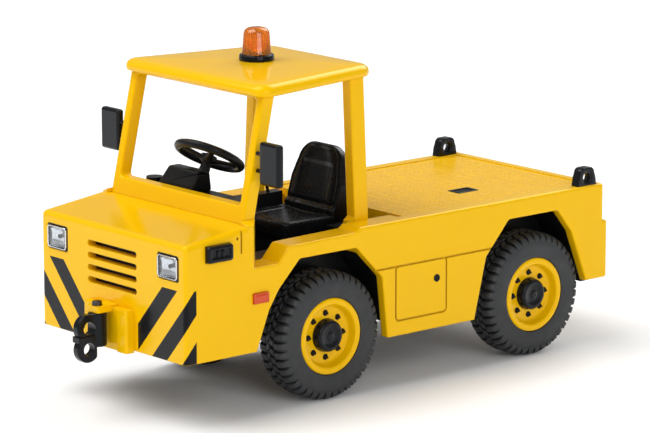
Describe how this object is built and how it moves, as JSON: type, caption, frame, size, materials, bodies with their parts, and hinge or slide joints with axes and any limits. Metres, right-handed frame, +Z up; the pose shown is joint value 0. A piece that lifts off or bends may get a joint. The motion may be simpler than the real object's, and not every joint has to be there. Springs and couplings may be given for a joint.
{
  "type": "die-cast scale model of an airport tow tractor",
  "caption": "Small die-cast model of a low airport tow tractor with an open cab, a long tread-plate deck, tow gear at both ends and wheels that turn.",
  "frame": {"origin": "on the ground under the middle of the overall length", "axes": "+Z up, the nose towards -Y, the vehicle's left side at +X"},
  "size_m": [0.0402, 0.092, 0.0518],
  "materials": {
    "yellow_paint": "glossy enamel over a zinc casting",
    "deck_paint": "glossy enamel with a raised tread pattern",
    "soft_tyre": "satin soft moulded tyre",
    "rim_paint": "glossy enamel",
    "black_gloss": "glossy black",
    "black_plastic": "satin black",
    "dark_grey": "glossy dark grey",
    "seat_black": "glossy moulded black",
    "axle_steel": "plain bright steel",
    "pin_steel": "dull bright steel",
    "clear_lens": "clear moulded lens",
    "amber_lens": "amber moulded lens",
    "orange_lens": "glossy orange",
    "red_lens": "glossy red"
  },
  "bodies": {
    "chassis": {"base_plate": "black_plastic", "beacon_base": "black_plastic", "beacon_lens": "amber_lens", "body_casting": "yellow_paint", "cab_tub": "black_plastic", "dashboard": "black_plastic", "deck_latch": "black_plastic", "deck_plate": "deck_paint", "front_axle": "axle_steel", "front_wheelhouse": "black_plastic", "grille_backing": "black_plastic", "headlight_housing_left": "dark_grey", "headlight_housing_right": "dark_grey", "headlight_lens_left": "clear_lens", "headlight_lens_right": "clear_lens", "instrument_box": "black_plastic", "lever_console": "black_plastic", "lifting_lug_left": "black_plastic", "lifting_lug_right": "black_plastic", "locker_lock_left": "black_plastic", "locker_lock_right": "black_plastic", "mirror_left": "black_plastic", "mirror_right": "black_plastic", "rear_axle": "axle_steel", "rear_hitch": "black_plastic", "rear_hitch_pin": "pin_steel", "rear_post_left": "yellow_paint", "rear_post_right": "yellow_paint", "rear_wheelhouse": "black_plastic", "roof": "yellow_paint", "seat_back": "seat_black", "seat_base": "black_plastic", "seat_cushion": "seat_black", "side_lamp_left": "black_plastic", "side_lamp_right": "black_plastic", "side_marker_left": "orange_lens", "side_marker_right": "orange_lens", "steering_column": "black_plastic", "steering_wheel": "black_plastic", "tail_lamp_left": "red_lens", "tail_lamp_right": "red_lens", "tow_block": "yellow_paint", "tow_pin": "pin_steel", "windscreen_frame": "yellow_paint"},
    "tow_eye": {"tow_eye": "black_plastic"},
    "wheel_front_left": {"tyre_front_left": "soft_tyre", "rim_front_left": "rim_paint", "hub_cap_front_left": "black_gloss"},
    "wheel_front_right": {"tyre_front_right": "soft_tyre", "rim_front_right": "rim_paint", "hub_cap_front_right": "black_gloss"},
    "wheel_rear_left": {"tyre_rear_left": "soft_tyre", "rim_rear_left": "rim_paint", "hub_cap_rear_left": "black_gloss"},
    "wheel_rear_right": {"tyre_rear_right": "soft_tyre", "rim_rear_right": "rim_paint", "hub_cap_rear_right": "black_gloss"}
  },
  "joints": [
    {"name": "front_left_wheel_spin", "type": "hinge", "parent": "chassis", "child": "wheel_front_left", "pos_m": [0.0132, -0.01263, 0.0093], "axis": [1, 0, 0], "continuous": true},
    {"name": "front_right_wheel_spin", "type": "hinge", "parent": "chassis", "child": "wheel_front_right", "pos_m": [-0.0132, -0.01263, 0.0093], "axis": [1, 0, 0], "continuous": true},
    {"name": "rear_left_wheel_spin", "type": "hinge", "parent": "chassis", "child": "wheel_rear_left", "pos_m": [0.0132, 0.02718, 0.0093], "axis": [1, 0, 0], "continuous": true},
    {"name": "rear_right_wheel_spin", "type": "hinge", "parent": "chassis", "child": "wheel_rear_right", "pos_m": [-0.0132, 0.02718, 0.0093], "axis": [1, 0, 0], "continuous": true},
    {"name": "tow_eye_swivel", "type": "hinge", "parent": "chassis", "child": "tow_eye", "pos_m": [0, -0.04213, 0.0111], "axis": [0, 0, 1], "range_deg": [-45, 45]}
  ]
}
